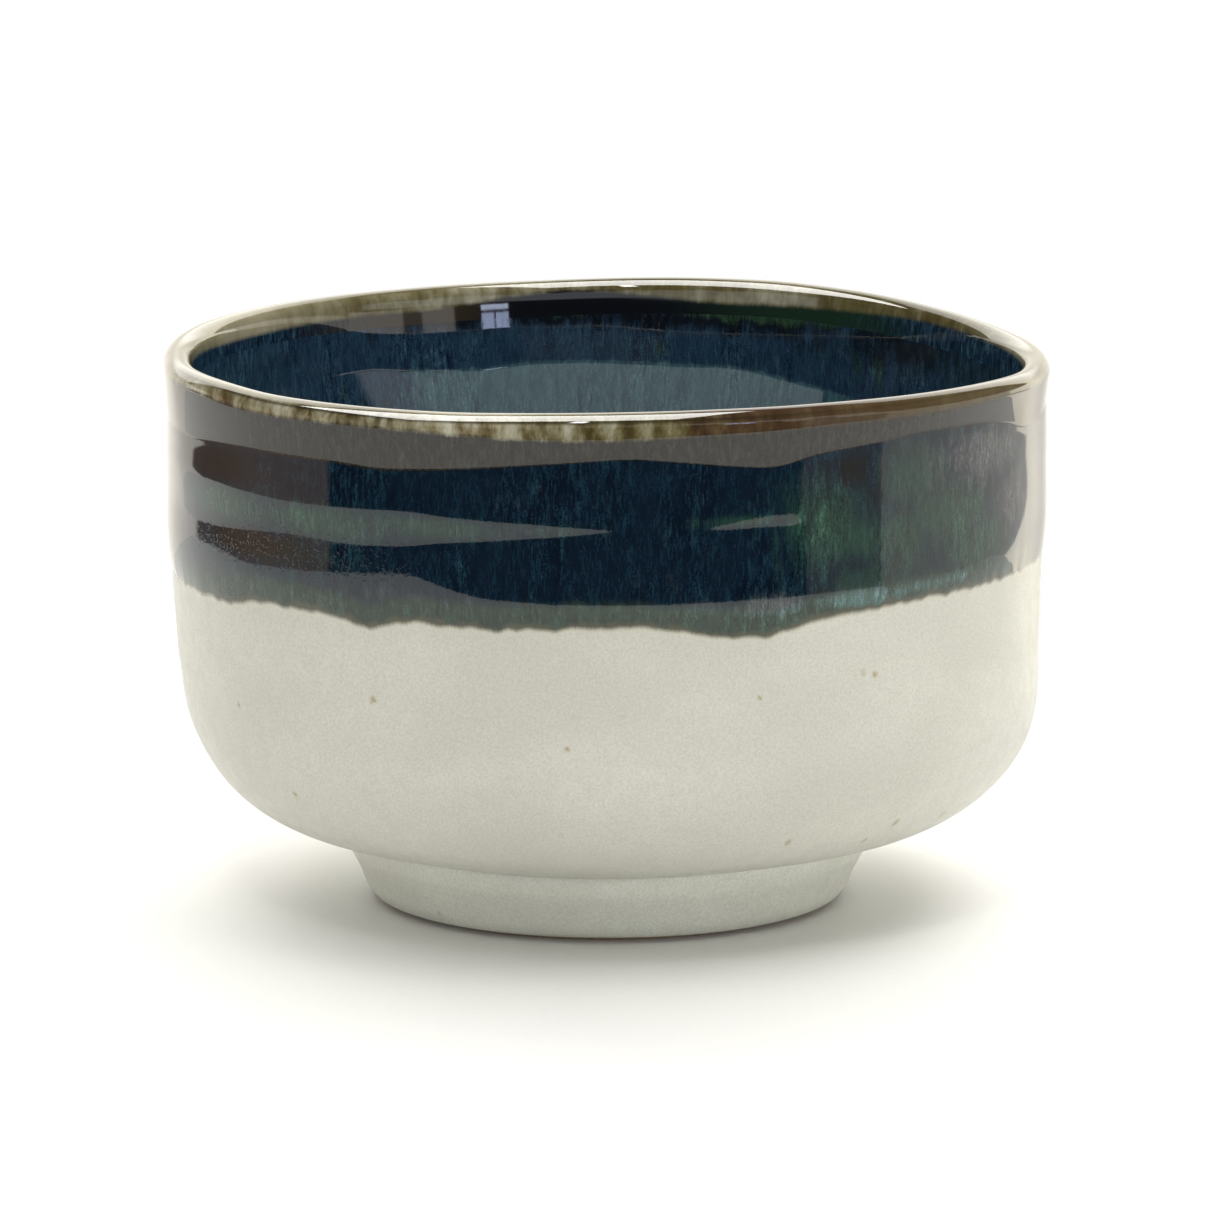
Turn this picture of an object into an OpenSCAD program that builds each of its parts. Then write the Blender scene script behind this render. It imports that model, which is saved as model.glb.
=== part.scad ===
// Matcha bowl: a thrown stoneware bowl standing on a luted foot ring. A satin white glaze
// covers the outside and the foot, a blue hare's-fur glaze lines the inside and was dipped
// over the upper wall, and where it ran thin over the lip it turned amber.
// Each clay piece and each coat of glaze is a solid of its own, turned about the throwing
// axis. Neighbouring solids share one surface, so they meet face to face with no gap.
// The origin is the centre of the circle on which the foot stands, with +Z up.

/* [Overall] */
// Width of the bowl across the lip
lip_d = 120; // [114:1:130]
// Height of the lip above the table
height = 76.5; // [72:0.5:84]

/* [Outer wall] */
// How far the white wall stays inside the lip, on the radius
belly_in = 0.7; // [0.4:0.1:1.5]
// Height at which the wall is widest
belly_z = 58; // [54:1:62]
// Radius of the wall's slight belly
belly_rad = 550; // [400:10:900]
// Radius of the round corner between the underside and the wall
corner_rad = 20; // [16:1:23]
// Slope of the underside, up from the foot, in degrees
underside_slope = 13; // [9:1:16]

/* [Inside] */
// Lean of the inner wall from upright, in degrees
inner_lean = 4; // [2:0.5:5]
// Radius of the round corner between the floor and the inner wall
inner_rad = 18; // [14:1:22]
// Slope of the floor between the tea pool and the corner, in degrees
floor_slope = 8; // [5:1:10]
// Thickness of the clay under the middle of the floor
floor_t = 5.5; // [4.5:0.5:7]
// Diameter of the shallow pool where the last of the tea gathers
pool_d = 40; // [30:1:50]
// Depth of the pool
pool_h = 0.8; // [0.4:0.1:1.5]

/* [Lip] */
// Thickness of the rounded lip
lip_t = 3.8; // [3.4:0.1:4.6]
// Height of the lip's roll above the crease under it
roll_h = 6.5; // [5:0.5:8]

/* [Foot] */
// Width of the foot where it meets the underside
foot_d = 72; // [66:1:76]
// Height at which the foot meets the underside
foot_h = 9.8; // [8.6:0.2:11]
// Lean of the foot's side from upright, in degrees
foot_lean = 20; // [12:1:24]
// Radius of the foot's rounded bottom edge
foot_edge = 4.5; // [3:0.5:5]
// Height of the foot ring, up to the flat underside that it is luted to
ring_h = 8; // [7:0.2:8.4]
// Diameter of the recess inside the foot ring
recess_d = 50; // [44:1:51]
// Radius of the ring's rounded inner bottom edge
recess_edge = 1.2; // [0.6:0.1:1.5]

/* [Glaze] */
// Thickness of the white glaze
white_t = 0.4; // [0.3:0.05:0.6]
// Thickness of the blue glaze over the white
blue_t = 0.5; // [0.35:0.05:0.8]
// Thickness of the blue glaze inside
liner_t = 0.4; // [0.35:0.05:0.6]
// Thickness of the glaze left on the lip
rim_t = 0.3; // [0.2:0.05:0.35]
// Thickness of the white glaze inside the foot ring
base_t = 0.35; // [0.25:0.05:0.5]
// Height of the blue band's lower edge
band_z = 47.6; // [44:0.2:52]
// Height over which the blue band's lower edge swells to its full thickness
band_edge = 1.2; // [0.6:0.1:2.4]
// How far the amber glaze of the lip runs down the inside
rim_run = 3.1; // [2:0.1:5]
// Height of the bare clay left above the table when the foot was wiped
bare_h = 0.8; // [0.5:0.1:1.2]

/* [Hidden] */
$fn = 128;

clay_colour = [0.60, 0.48, 0.37];
foot_clay_colour = [0.56, 0.45, 0.35];
white_colour = [0.81, 0.80, 0.75];
foot_white_colour = [0.72, 0.71, 0.66];
blue_colour = [0.07, 0.14, 0.18];
liner_colour = [0.11, 0.21, 0.24];
rim_colour = [0.50, 0.47, 0.33];

// Steps along each curve of the outlines
corner_steps = 12;
belly_steps = 4;
band_steps = 6;
roll_steps = 5;
lip_steps = 12;
edge_steps = 8;
pool_steps = 5;

lip_r = lip_d / 2;
belly_r = lip_r - belly_in;
lip_rad = lip_t / 2;
lip_c = [lip_r - lip_rad, height - lip_rad];
crease_z = height - roll_h;
// Above this height the blue band thins towards the crease
band_thin_z = crease_z - 1.5;

// Numbers from a to b in n steps
function spread(a, b, n) = [for (i = [0 : n]) a + (b - a) * i / n];
// A list without its first item
function rest(list) = [for (i = [1 : len(list) - 1]) list[i]];
function reversed(list) = [for (i = [len(list) - 1 : -1 : 0]) list[i]];
// The outline between two paths that run the same way
function between(path_a, path_b) = concat(path_a, reversed(path_b));

// --- Outside: points on the white glaze's surface, moved t inwards along its normal ---

// Where the foot meets the underside, with the corner mitred between the two
joint_mitre = ([-sin(underside_slope), cos(underside_slope)] + [-cos(foot_lean), sin(foot_lean)])
    / (1 + sin(underside_slope + foot_lean));
function joint(t) = [foot_d / 2, foot_h] + t * joint_mitre;

// The wall's belly, one long arc that is widest at belly_z
function belly(z, t) = [belly_r - belly_rad + sqrt(pow(belly_rad, 2) - pow(z - belly_z, 2)) - t, z];

// Lean at which the round corner runs into the belly
corner_lean = asin((belly_z - corner_rad * cos(underside_slope) - foot_h
    - (belly_r - corner_rad + corner_rad * sin(underside_slope) - foot_d / 2) * tan(underside_slope))
    / (belly_rad - corner_rad));
corner_top = belly(belly_z - belly_rad * sin(corner_lean), 0);
corner_c = corner_top - corner_rad * [cos(corner_lean), -sin(corner_lean)];
function corner(a, t) = corner_c + (corner_rad - t) * [cos(a), -sin(a)];

// The lip's roll stands out of the crease and is upright where the round lip starts
function roll(k, t) = let (foot = belly(crease_z, t), top = lip_r - rim_t - t)
    [foot.x + (top - foot.x) * sin(90 * k), crease_z + (lip_c.y - crease_z) * k];

// The round lip, at a distance of rad from its centre and turned by a from outwards
function lip(a, rad) = lip_c + rad * [cos(a), sin(a)];
lip_turn = 180 - inner_lean;

band_zs = concat(
    [band_z, band_z + band_edge * 0.25, band_z + band_edge * 0.5],
    spread(band_z + band_edge, band_thin_z, band_steps),
    [crease_z]
);
function wall_path(t) = concat(
    [joint(t)],
    [for (a = spread(90 - underside_slope, corner_lean, corner_steps)) corner(a, t)],
    [for (z = rest(spread(corner_top.y, band_z, belly_steps))) belly(z, t)],
    [for (z = rest(band_zs)) belly(z, t)],
    [for (k = rest(spread(0, 1, roll_steps))) roll(k, t)]
);

// The white glaze runs over the lip and fades out on its inner side
function lip_white_t(a) = white_t * (1 - a / lip_turn);
lip_angles = spread(0, lip_turn, lip_steps);
lip_clay_path = [for (a = lip_angles) lip(a, lip_rad - rim_t - lip_white_t(a))];
lip_white_path = [for (a = lip_angles) lip(a, lip_rad - rim_t)];
lip_rim_path = [for (a = lip_angles) lip(a, lip_rad)];

// --- Inside: points on the liner's surface, moved t into the clay ---

inner_down = [-sin(inner_lean), -cos(inner_lean)];
inner_out = [cos(inner_lean), -sin(inner_lean)];
// The inner wall, s below the round lip
function inner_wall(s, t) = lip(lip_turn, lip_rad) + s * inner_down + t * inner_out;

pool_r = pool_d / 2;
pool_z = ring_h + floor_t + liner_t / cos(floor_slope) + pool_h;
function pool(k, t) = [pool_r * k, pool_z - pool_h * (1 - k * k) - t / cos(floor_slope)];

// How far down the inner wall the round corner starts, so that it ends on the sloped floor
inner_reach = lip(lip_turn, lip_rad) - inner_rad * inner_out
    + inner_rad * [sin(floor_slope), -cos(floor_slope)];
inner_s = (inner_reach.y - pool_z - (inner_reach.x - pool_r) * tan(floor_slope))
    / (cos(inner_lean) - sin(inner_lean) * tan(floor_slope));
inner_c = inner_wall(inner_s, -inner_rad);
function inner_corner(a, t) = inner_c + (inner_rad + t) * [cos(a), -sin(a)];

function liner_path(t) = concat(
    [inner_wall(rim_run, t)],
    [for (a = spread(inner_lean, 90 - floor_slope, corner_steps)) inner_corner(a, t)],
    [for (k = spread(1, 0, pool_steps)) pool(k, t)]
);

// --- Foot: the round bottom edge, t outside the clay ---

edge_side_z = foot_edge * (1 - sin(foot_lean));
edge_c = [
    joint(white_t).x - (joint(white_t).y - edge_side_z) * tan(foot_lean) - foot_edge * cos(foot_lean),
    foot_edge
];
function foot_edge_point(a, t) = edge_c + (foot_edge + t) * [cos(a), -sin(a)];
// Where the foot's clay side passes the flat top of the foot ring
ring_top_r = joint(white_t).x - (joint(white_t).y - ring_h) * tan(foot_lean);
// The glaze stops at this turn of the edge, and thins towards it over glaze_fade degrees
glaze_stop = asin(1 - bare_h / foot_edge);
glaze_fade = 8;
function foot_white_t(a) = white_t * min(1, (glaze_stop - a) / glaze_fade);
recess_r = recess_d / 2;
recess_fillet = 2;
// The glaze inside the ring starts this high above its rounded edge
base_start_z = recess_edge + 0.3;

// A fired layer: its outline turned about the throwing axis
module turned(outline) rotate_extrude() polygon(outline);

// The thrown wall and floor, with a flat pad underneath for the foot ring
module clay_body() {
    color(clay_colour)
        turned(concat(
            [[0, ring_h], [ring_top_r, ring_h]],
            wall_path(white_t),
            rest(lip_clay_path),
            liner_path(liner_t)
        ));
}

// The foot ring, luted under the body
module foot_ring() {
    color(foot_clay_colour)
        turned(concat(
            [[recess_r, ring_h], [ring_top_r, ring_h]],
            [for (a = spread(foot_lean, glaze_stop, edge_steps)) foot_edge_point(a, 0)],
            [for (a = rest(spread(glaze_stop, 90, 3))) foot_edge_point(a, 0)],
            [for (a = spread(90, 0, 4))
                [recess_r + recess_edge * (1 - cos(a)), recess_edge * (1 - sin(a))]],
            [[recess_r, base_start_z]]
        ));
}

// The white glaze from the foot to the lip, over which it fades out
module white_glaze_outside() {
    color(white_colour)
        turned(between(
            concat(wall_path(0), rest(lip_white_path)),
            concat(wall_path(white_t), [for (i = [1 : lip_steps - 1]) lip_clay_path[i]])
        ));
}

// The white glaze down the foot's side, thinning to the wiped edge
module white_glaze_foot() {
    angles = spread(foot_lean, glaze_stop, edge_steps);
    color(foot_white_colour)
        turned(between(
            concat([joint(0)], [for (a = angles) foot_edge_point(a, foot_white_t(a))]),
            concat([joint(white_t), [ring_top_r, ring_h]],
                [for (i = [0 : edge_steps - 1]) foot_edge_point(angles[i], 0)])
        ));
}

// The white glaze in the recess, over the pad and the inside of the foot ring
module white_glaze_base() {
    inner_r = recess_r - base_t;
    inner_z = ring_h - base_t;
    color(foot_white_colour)
        turned(concat(
            [[0, ring_h], [0, inner_z]],
            [for (a = spread(90, 0, 6))
                [inner_r - recess_fillet * (1 - cos(a)), inner_z - recess_fillet * (1 - sin(a))]],
            [[inner_r, base_start_z + base_t], [recess_r, base_start_z], [recess_r, ring_h]]
        ));
}

// The blue band dipped over the white glaze, with a swollen lower edge
module blue_glaze_outside() {
    function swell(z) = sin(90 * min(1, (z - band_z) / band_edge));
    function thinning(z) = (blue_t - rim_t) * max(0, z - band_thin_z) / (crease_z - band_thin_z);
    function thickness(z) = blue_t * swell(z) - thinning(z);
    color(blue_colour)
        turned(between(
            [for (z = rest(band_zs)) belly(z, -thickness(z))],
            [for (z = band_zs) belly(z, 0)]
        ));
}

// The blue glaze poured inside, from the lip down to the pool
module blue_glaze_inside() {
    color(liner_colour)
        turned(between(liner_path(liner_t), liner_path(0)));
}

// The thin amber glaze over the rolled lip
module rim_glaze() {
    roll_ks = spread(0, 1, roll_steps);
    color(rim_colour)
        turned(between(
            concat([for (k = roll_ks) roll(k, -rim_t)], rest(lip_rim_path), [inner_wall(rim_run, 0)]),
            concat([for (k = roll_ks) roll(k, 0)], rest(lip_white_path), [inner_wall(rim_run, liner_t)])
        ));
}

clay_body();
foot_ring();
white_glaze_outside();
white_glaze_foot();
white_glaze_base();
blue_glaze_outside();
blue_glaze_inside();
rim_glaze();
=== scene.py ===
"""Matcha bowl: the fired look of the bowl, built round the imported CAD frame.

Every clay piece and every coat of glaze is a closed mesh turned on the same hand-made wall, so the
coats stay nested where the lip dips or the wall bulges. Profiles are worked out in millimetres.
Azimuth 0 is the front (-Y) and grows towards +X.
"""
from math import asin, cos, pi, radians, sin, sqrt, tan

import bpy
import numpy as np
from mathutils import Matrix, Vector


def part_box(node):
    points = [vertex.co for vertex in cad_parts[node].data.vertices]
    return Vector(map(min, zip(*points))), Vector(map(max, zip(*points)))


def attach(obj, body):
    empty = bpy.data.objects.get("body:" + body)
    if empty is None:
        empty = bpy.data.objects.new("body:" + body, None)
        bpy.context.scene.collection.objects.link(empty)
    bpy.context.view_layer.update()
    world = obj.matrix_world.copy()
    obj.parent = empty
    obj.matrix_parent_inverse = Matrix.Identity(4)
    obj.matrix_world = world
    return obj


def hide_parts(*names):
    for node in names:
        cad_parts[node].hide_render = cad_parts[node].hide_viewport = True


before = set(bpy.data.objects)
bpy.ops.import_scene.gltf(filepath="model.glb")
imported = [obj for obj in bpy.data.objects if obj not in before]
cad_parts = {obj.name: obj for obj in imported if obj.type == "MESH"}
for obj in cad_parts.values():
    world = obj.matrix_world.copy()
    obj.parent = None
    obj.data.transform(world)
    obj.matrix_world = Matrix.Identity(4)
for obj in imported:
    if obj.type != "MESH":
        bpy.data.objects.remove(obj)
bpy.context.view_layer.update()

MM = 0.001

# ---- sizes from the CAD frame, in mm


def node_box(name):
    """Lowest and highest corner of a CAD node, in millimetres."""
    low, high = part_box(name)
    return np.array(low) / MM, np.array(high) / MM


LIP_R = node_box("rim_glaze")[1][0]
HEIGHT = node_box("rim_glaze")[1][2]
CREASE_Z = node_box("rim_glaze")[0][2]
BAND_Z = node_box("blue_glaze_outside")[0][2]
JOINT_Z = node_box("white_glaze_outside")[0][2]
JOINT_R = node_box("white_glaze_foot")[1][0]
RING_H = node_box("foot_ring")[1][2]
RECESS_R = node_box("white_glaze_base")[1][0]
FLOOR_Z = node_box("blue_glaze_inside")[0][2]

# Curves of the CAD outline
CORNER_RAD = 20.0
BELLY_IN = 0.7
BELLY_Z = 58.0
BELLY_RAD = 550.0
UNDERSIDE_SLOPE = radians(13)
INNER_LEAN = radians(4)
INNER_RAD = 18.0
FLOOR_SLOPE = radians(8)
POOL_R = 20.0
POOL_H = 0.8
LIP_RAD = 1.9
FOOT_LEAN = radians(20)
FOOT_EDGE = 4.5
RECESS_EDGE = 1.2
RECESS_FILLET = 2.0
BARE_H = 0.8
RIM_RUN = 3.1

# Thicknesses of the coats
WHITE_T = 0.4
LINER_T = 0.4
RIM_T = 0.3
BASE_T = 0.35
# How far a coat is sunk into the one under it, so that no gap shows
SINK = 0.06

# Radius at which the glazes' patterns are laid out round the bowl
FLOW_R = 60.0

# ---- numbers round the bowl

COLUMNS = 720
AZIMUTHS = np.linspace(-180.0, 180.0, COLUMNS, endpoint=False)
THETA = np.radians(AZIMUTHS)
rng = np.random.default_rng(7)


def smooth(x):
    x = np.clip(x, 0.0, 1.0)
    return x * x * (3.0 - 2.0 * x)


def hump(x):
    return np.exp(-x * x)


def around(keys, blur=4.0):
    """A value for each column from {azimuth: value}, rounded off over blur degrees."""
    degrees, values = zip(*sorted(keys.items()))
    line = np.interp(AZIMUTHS, degrees, values, period=360.0)
    offsets = np.minimum(np.arange(COLUMNS), COLUMNS - np.arange(COLUMNS)) * 360.0 / COLUMNS
    kernel = np.exp(-((offsets / blur) ** 2))
    return np.real(np.fft.ifft(np.fft.fft(line) * np.fft.fft(kernel / kernel.sum())))


def ripple(low, high, size):
    """A wavy line round the bowl, made of whole waves from low to high in number."""
    line = np.zeros(COLUMNS)
    for count in range(low, high):
        line += rng.normal() * np.cos(count * THETA + rng.uniform(0, 2 * pi)) / sqrt(count)
    return size * line / line.std()


# The heights listed for the crease and for the band's lower edge are those of a bowl with these means
LISTED_CREASE_Z = 70.0
LISTED_BAND_Z = 47.6

# How far the lip stands above or below its mean height
LIP_LIFT = around({
    -180: 0.25, -170: 0, -150: -0.15, -110: 0, -90: -0.2, -60: -0.3, -50: -0.65, -35: -0.5, -20: -0.3,
    -10: 0.05, 0: 0.25, 15: 0.4, 30: 0.35, 50: -0.05, 60: -0.3, 75: -1, 90: -1.3, 110: -1.4, 120: -1,
    130: -0.5, 140: 0.1, 155: 0.65, 170: 0.5,
})
# Height of the crease under the lip's roll
CREASE = CREASE_Z - LISTED_CREASE_Z + around({
    -150: 69.6, -120: 69, -85: 67.4, -66: 67.5, -54: 68.3, -36: 68.4, -30: 68, -21: 68.7, -11: 69.7,
    3: 70.8, 12: 69.9, 18: 69.2, 22: 68.9, 27: 70.3, 35: 70.9, 45: 71.6, 56: 71.2, 64: 70, 68: 68.6,
    76: 68.4, 95: 70.6, 130: 70.3, 160: 69.8,
}, 2.0)
# Height at which the roll is widest
ROLL_Z = around({
    -160: 73.8, -90: 74.5, -65: 74.4, -54: 73.6, -27: 73.9, -11: 73.3, 0: 73.3, 12: 73.8, 29: 74.2,
    60: 74.2, 120: 73.4,
}, 3.0)
# How far the roll stands out of the wall below it
ROLL_OUT = around({
    -150: 0.3, -100: 0.25, -84: 0.25, -72: 0.62, -64: 0.6, -55: 0.42, -45: 0.3, -20: 0.28, 15: 0.4,
    35: 0.55, 60: 0.8, 68: 0.75, 82: 0.35, 110: 0.35,
})
# Height of the blue band's lower edge
FRINGE = BAND_Z - LISTED_BAND_Z + around({
    -160: 48.2, -130: 47, -110: 46.4, -82: 46.1, -57: 46.2, -52: 47.5, -40: 47.6, -35: 47.2, -32: 45.9,
    -29: 47.4, -25: 47.8, -15: 47.4, 0: 48.1, 6: 48.1, 12: 46.9, 17: 46.2, 22: 46.3, 27: 47.8, 32: 48.3,
    45: 48.9, 72: 48.7, 90: 48.2, 105: 47, 125: 46.7, 150: 48, 170: 47.3,
}, 1.6) + ripple(40, 160, 0.1)
# Height up to which the band's thick lower edge reaches
BEAD_TOP = around({
    -180: 52.5, -75: 54.5, -60: 54.4, -53: 53.1, -40: 54.2, -30: 55.6, -26: 55.9, -22: 54.2, -17: 52.5,
    -8: 51.8, 6: 51.7, 18: 52.2, 36: 52, 52: 52.3, 60: 53.2, 65: 55, 68: 57.8, 72: 60, 84: 57, 100: 53,
    130: 52,
}, 1.8)
# The throwing ring that runs round the band: its height, half height and depth of lean in degrees
RING_Z = around({
    -180: 61.5, -70: 60, -60: 59.9, -45: 60.3, -35: 60.2, -26: 60.6, -21: 61, -11: 61.3, 0: 61.4, 14: 61.5,
    20: 62.2, 26: 62.2, 60: 62, 120: 62,
}, 3.0)
RING_HALF = around({
    -180: 1.2, -70: 3.3, -60: 3.1, -45: 2.2, -35: 2.5, -26: 2.5, -21: 1.8, -11: 1.2, -4: 0.7, 1: 0.3,
    5: 0.1, 10: 0.1, 13: 0.45, 17: 0.8, 24: 1.15, 45: 0.7, 120: 1,
}, 2.0)
RING_LEAN = around({
    -180: 1.5, -84: 1.2, -73: 4.5, -60: 4, -45: 3.2, -26: 2.8, -11: 2.8, -4: 2.7, 2: 2.4, 4: 0.6, 10: 0.6,
    13: 2.4, 24: 2.8, 28: 0.8, 70: 0.5, 120: 1.5,
}, 1.2)
# Over how many millimetres the throwing ring's edges turn
RING_SOFT = around({-180: 0.7, -80: 2.4, -64: 2.2, -52: 1, -40: 0.7, 60: 0.7}, 3.0)

# ---- outside wall


def belly(z):
    """Radius of the wall's long shallow curve at heights z."""
    return LIP_R - BELLY_IN - BELLY_RAD + np.sqrt(BELLY_RAD**2 - (z - BELLY_Z) ** 2)


CORNER_LEAN = asin(
    (BELLY_Z - CORNER_RAD * cos(UNDERSIDE_SLOPE) - JOINT_Z
     - (LIP_R - BELLY_IN - CORNER_RAD + CORNER_RAD * sin(UNDERSIDE_SLOPE) - JOINT_R)
     * tan(UNDERSIDE_SLOPE)) / (BELLY_RAD - CORNER_RAD)
)
CORNER_TOP_Z = BELLY_Z - BELLY_RAD * sin(CORNER_LEAN)
CORNER_R = belly(CORNER_TOP_Z) - CORNER_RAD * cos(CORNER_LEAN)
CORNER_Z = CORNER_TOP_Z + CORNER_RAD * sin(CORNER_LEAN)


# Depth and pitch of the fine and the broad throwing rings, which fade in above the round corner
FINE_DEPTH, FINE_PITCH = 0.008, 4.3
BROAD_DEPTH, BROAD_PITCH = 0.03, 9.1
RINGS_LOW, RINGS_FADE = 14.0, 8.0


def throwing_rings(z):
    """The soft rings that the potter's fingers left, climbing once round the bowl."""
    turn = THETA / (2 * pi)
    fade = smooth((z - RINGS_LOW) / RINGS_FADE)
    fine = FINE_DEPTH * np.sin(2 * pi * (z / FINE_PITCH - turn) + 1.3 * np.sin(2 * THETA))
    broad = BROAD_DEPTH * np.sin(2 * pi * (z / BROAD_PITCH - turn) + 0.8)
    return fade * (fine + broad)


# Heights at which the blue wall is worked out
GRID_STEP = 0.1
WALL_LOW, WALL_HIGH = 40.0, 77.0
WALL_ZS = np.arange(WALL_LOW, WALL_HIGH, GRID_STEP)[:, None]
# The blue wall's lean, its slow swell and its turn in to the crease: degrees, pitch and half height
WALL_LEAN = 0.6
SWELL_LEAN, SWELL_PITCH = 0.5, 9.0
CREASE_LEAN, CREASE_HALF = 2.5, 0.8
# Radius of the blue wall at the height of the belly, and how roundly its lower edge swells
BAND_R_AT_BELLY = 59.82
BEAD_ROUND = 2.4


def band_lean():
    """Lean of the blue wall in degrees at each height and azimuth, positive where it faces up."""
    z = WALL_ZS
    lean = np.full((len(WALL_ZS), COLUMNS), WALL_LEAN)
    lean += SWELL_LEAN * np.sin(2 * pi * (z - BEAD_TOP) / SWELL_PITCH)
    inside_ring = smooth((RING_HALF + RING_SOFT / 2 - np.abs(z - RING_Z)) / RING_SOFT)
    lean -= RING_LEAN * inside_ring
    # The wall turns in to the crease, and the roll's underside turns out of it
    lean += CREASE_LEAN * hump((z - CREASE + 0.3) / CREASE_HALF)
    roll_lean = np.degrees(np.arctan(1.15 * (ROLL_OUT + 0.14) / (ROLL_Z - CREASE)))
    under_roll = smooth((z - CREASE) / 0.5) * smooth((ROLL_Z + 0.5 - z) / 1.0)
    over_crease = smooth((z - CREASE) / 0.5)
    return lean * (1 - over_crease) - roll_lean * under_roll


def band_radius():
    """Radius of the blue band's surface on the grid of heights and azimuths."""
    slope = -np.tan(np.radians(band_lean()))
    radius = np.cumsum(slope, axis=0) * GRID_STEP
    at = int(round((BELLY_Z - WALL_LOW) / GRID_STEP))
    radius += BAND_R_AT_BELLY - radius[at]
    under = belly(WALL_ZS) + throwing_rings(WALL_ZS)
    reach = np.clip((WALL_ZS - FRINGE) / (BEAD_TOP - FRINGE), 0.0, 1.0)
    swell = 1 - (1 - reach) ** BEAD_ROUND
    below = np.clip((FRINGE - WALL_ZS) / 0.8, 0.0, 1.0)
    bead = under + (radius - under) * swell - SINK * below
    return np.where(WALL_ZS < BEAD_TOP, bead, radius)


BAND_R = band_radius()


def look_up(grid, lowest, z):
    """What a grid of heights and azimuths says at heights z, given for each column."""
    at = np.clip((z - lowest) / GRID_STEP, 0, len(grid) - 2)
    low = np.floor(at).astype(int)
    share = at - low
    column = np.arange(COLUMNS)
    return grid[low, column] * (1 - share) + grid[low + 1, column] * share


def band_at(z):
    """Radius of the blue band at heights z."""
    return look_up(BAND_R, WALL_LOW, z)


# Centre of the lip's round top
LIP_C_Z = HEIGHT + LIP_LIFT - LIP_RAD
LIP_C_R = band_at(LIP_C_Z) - LIP_RAD

# ---- meshes


# The bowl is a little fuller low down on its right, and above that wider from side to side
FULLER, FULLER_Z, FULLER_HALF = 0.8, 22.0, 11.0
OVAL, OVAL_LOW, OVAL_FADE = 0.24, 20.0, 30.0


def place(r, z):
    """Turns radii and heights, one column for each azimuth, into points of the hand-made bowl."""
    fuller = FULLER * hump((z - FULLER_Z) / FULLER_HALF) * np.sin(THETA)
    oval = -OVAL * smooth((z - OVAL_LOW) / OVAL_FADE) * np.cos(2 * THETA)
    r = r + (fuller + oval) * smooth(r / 30)
    return np.stack([r * np.sin(THETA), -r * np.cos(THETA), z + 0 * r], axis=-1)


NO_TONE = np.zeros((COLUMNS, 3))
# The pitted stretch of the band: azimuth, height above its edge, half width and half height
PITTED_AT, PITTED_UP, PITTED_WIDE, PITTED_HIGH = -47.0, 8.8, 15.0, 2.8


class Section:
    """The outline of one coat: rows of points round the bowl, or single points on the axis."""

    def __init__(self):
        self.rows = []
        self.sharp_rows = []

    def ring(self, r, z, run=0.0, edge=0.0, tone=NO_TONE):
        """A row of points, with its run down the melt, its distance from an edge and its colours."""
        r, z, run, edge = (np.broadcast_to(v, (COLUMNS,)) for v in (r, z, run, edge))
        flow = np.stack([FLOW_R * np.cos(THETA), FLOW_R * np.sin(THETA), run], axis=-1)
        self.rows.append((place(r, z), flow, edge, tone))

    def rings(self, r, z, run=0.0, edge=0.0, tones=None):
        shape = np.broadcast_shapes(np.shape(r), np.shape(z), (1, COLUMNS))
        lines = zip(*(np.broadcast_to(v, shape) for v in (r, z, run, edge)))
        for i, line in enumerate(lines):
            self.ring(*line, NO_TONE if tones is None else tones[i])

    def pole(self, z, run=0.0, edge=0.0, tone=NO_TONE):
        """A single point on the axis."""
        point, flow = np.array([[0.0, 0.0, z]]), np.array([[0.0, 0.0, run]])
        self.rows.append((point, flow, np.array([edge]), tone[:1]))

    def sharp(self):
        """Shades the faces on either side of the last row apart, at the crisp edge of a coat."""
        self.sharp_rows.append(len(self.rows) - 1)

    def build(self, name, node, material, under=None):
        """Joins the rows, and those of an underside back, into the piece for a CAD node."""
        rows = self.rows + (under.rows[::-1] if under else [])
        points, flow, edge, tone = (np.concatenate(part) for part in zip(*rows))
        counts = [len(row[2]) for row in rows]
        starts = np.cumsum([0] + counts)
        faces = []
        column = np.arange(COLUMNS)
        beside = (column + 1) % COLUMNS
        for i, count in enumerate(counts):
            after = (i + 1) % len(counts)
            a, b = starts[i], starts[after]
            if count > 1 and counts[after] > 1:
                faces += np.stack([a + column, a + beside, b + beside, b + column], 1).tolist()
            elif count > 1:
                faces += np.stack([a + column, a + beside, b + 0 * column], 1).tolist()
            elif counts[after] > 1:
                faces += np.stack([a + 0 * column, b + beside, b + column], 1).tolist()
        mesh = bpy.data.meshes.new(name)
        mesh.from_pydata(points * MM, [], faces)
        azimuth = np.degrees(np.arctan2(flow[:, 1], flow[:, 0]))
        pitted = hump((azimuth - PITTED_AT) / PITTED_WIDE) * hump((edge - PITTED_UP) / PITTED_HIGH)
        for title, kind, field, values in (
            ("pitted", "FLOAT", "value", pitted),
            ("flow", "FLOAT_VECTOR", "vector", flow),
            ("tone", "FLOAT_VECTOR", "vector", tone),
            ("edge", "FLOAT", "value", edge),
        ):
            layer = mesh.attributes.new(title, kind, "POINT")
            layer.data.foreach_set(field, values.astype("f").ravel())
        mesh.polygons.foreach_set("use_smooth", np.ones(len(mesh.polygons), bool))
        mesh.update(calc_edges=True)
        ends = np.empty(len(mesh.edges) * 2, int)
        mesh.edges.foreach_get("vertices", ends)
        row_of = np.repeat(np.arange(len(counts)), counts)[ends.reshape(-1, 2)]
        crisp = (row_of[:, 0] == row_of[:, 1]) & np.isin(row_of[:, 0], self.sharp_rows)
        mesh.edges.foreach_set("use_edge_sharp", crisp)
        piece = new_object(name, mesh)
        mesh.materials.append(material)
        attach(piece, "root")
        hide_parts(node)
        return piece


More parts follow.
